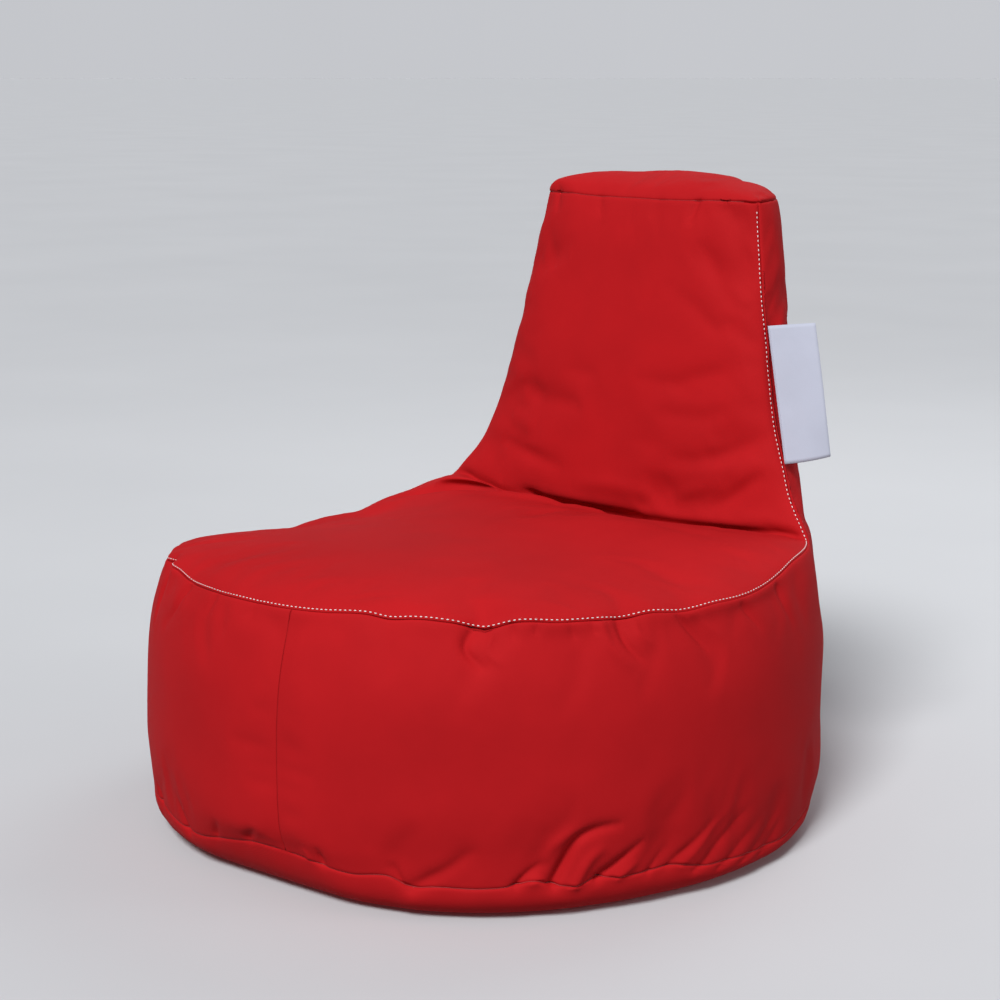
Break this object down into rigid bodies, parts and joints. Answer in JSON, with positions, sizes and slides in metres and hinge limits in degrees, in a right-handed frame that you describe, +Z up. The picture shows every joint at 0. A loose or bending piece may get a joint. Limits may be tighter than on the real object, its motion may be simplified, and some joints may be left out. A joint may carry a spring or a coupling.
{
  "type": "bean bag chair",
  "caption": "Round drum-seat bean bag chair with a tapering backrest, contrast topstitching, a rear zip, a carry handle and a side flag label.",
  "frame": {"origin": "centre of the drum seat on the floor", "axes": "+Z up, -Y towards the front of the seat, +Y towards the backrest, +X towards the sitter's left (right as seen from the front)"},
  "size_m": [0.8368, 0.8931, 0.7654],
  "materials": {
    "cover_cloth": "smooth matte coated polyester, red",
    "liner_cloth": "thin plain-woven lining, off-white",
    "beads": "expanded polystyrene beads",
    "white_thread": "white polyester topstitching thread",
    "red_thread": "self-colour polyester seam thread",
    "zip_tape": "woven zip tape, red",
    "zip_coil": "nylon zip coil, red",
    "zip_metal": "nickel-coloured zip metal",
    "label_cloth": "woven satin label, pale grey, blank",
    "strap_webbing": "folded cover cloth strap, red"
  },
  "bodies": {
    "bag": {"seat_back_panel": "cover_cloth", "side_panel_left": "cover_cloth", "side_panel_right": "cover_cloth", "top_cap_panel": "cover_cloth", "base_panel": "cover_cloth", "inner_liner": "liner_cloth", "bead_fill": "beads", "topstitch_thread": "white_thread", "front_seam_thread": "red_thread", "base_seam_thread": "red_thread", "cap_front_thread": "red_thread", "cap_rear_thread": "red_thread", "zip_tape_left": "zip_tape", "zip_tape_right": "zip_tape", "zip_coil_left": "zip_coil", "zip_coil_right": "zip_coil", "zip_top_stop": "zip_metal", "zip_bottom_stop": "zip_metal", "handle_tab_left": "strap_webbing", "handle_tab_right": "strap_webbing"},
    "slider": {"zip_slider": "zip_metal", "zip_slider_bridge": "zip_metal"},
    "pull_tab": {"zip_pull_tab": "zip_metal"},
    "handle": {"carry_handle": "strap_webbing"},
    "label": {"flag_label": "label_cloth"}
  },
  "joints": [
    {"name": "zip_slide", "type": "slide", "parent": "bag", "child": "slider", "axis": [0, 0.0303, 0.9995], "range_m": [-0.4, 0]},
    {"name": "pull_tab_swing", "type": "hinge", "parent": "slider", "child": "pull_tab", "pos_m": [0, 0.43764, 0.60983], "axis": [1, 0, 0], "range_deg": [0, 150]},
    {"name": "handle_swing", "type": "hinge", "parent": "bag", "child": "handle", "pos_m": [0, 0.4428, 0.688], "axis": [1, 0, 0], "range_deg": [-15, 110]},
    {"name": "label_fold", "type": "hinge", "parent": "bag", "child": "label", "pos_m": [0.22927, 0.27171, 0.5095], "axis": [-0.2771, 0.1257, 0.9526], "range_deg": [-40, 25], "stiffness_Nm_per_rad": 0.02}
  ]
}
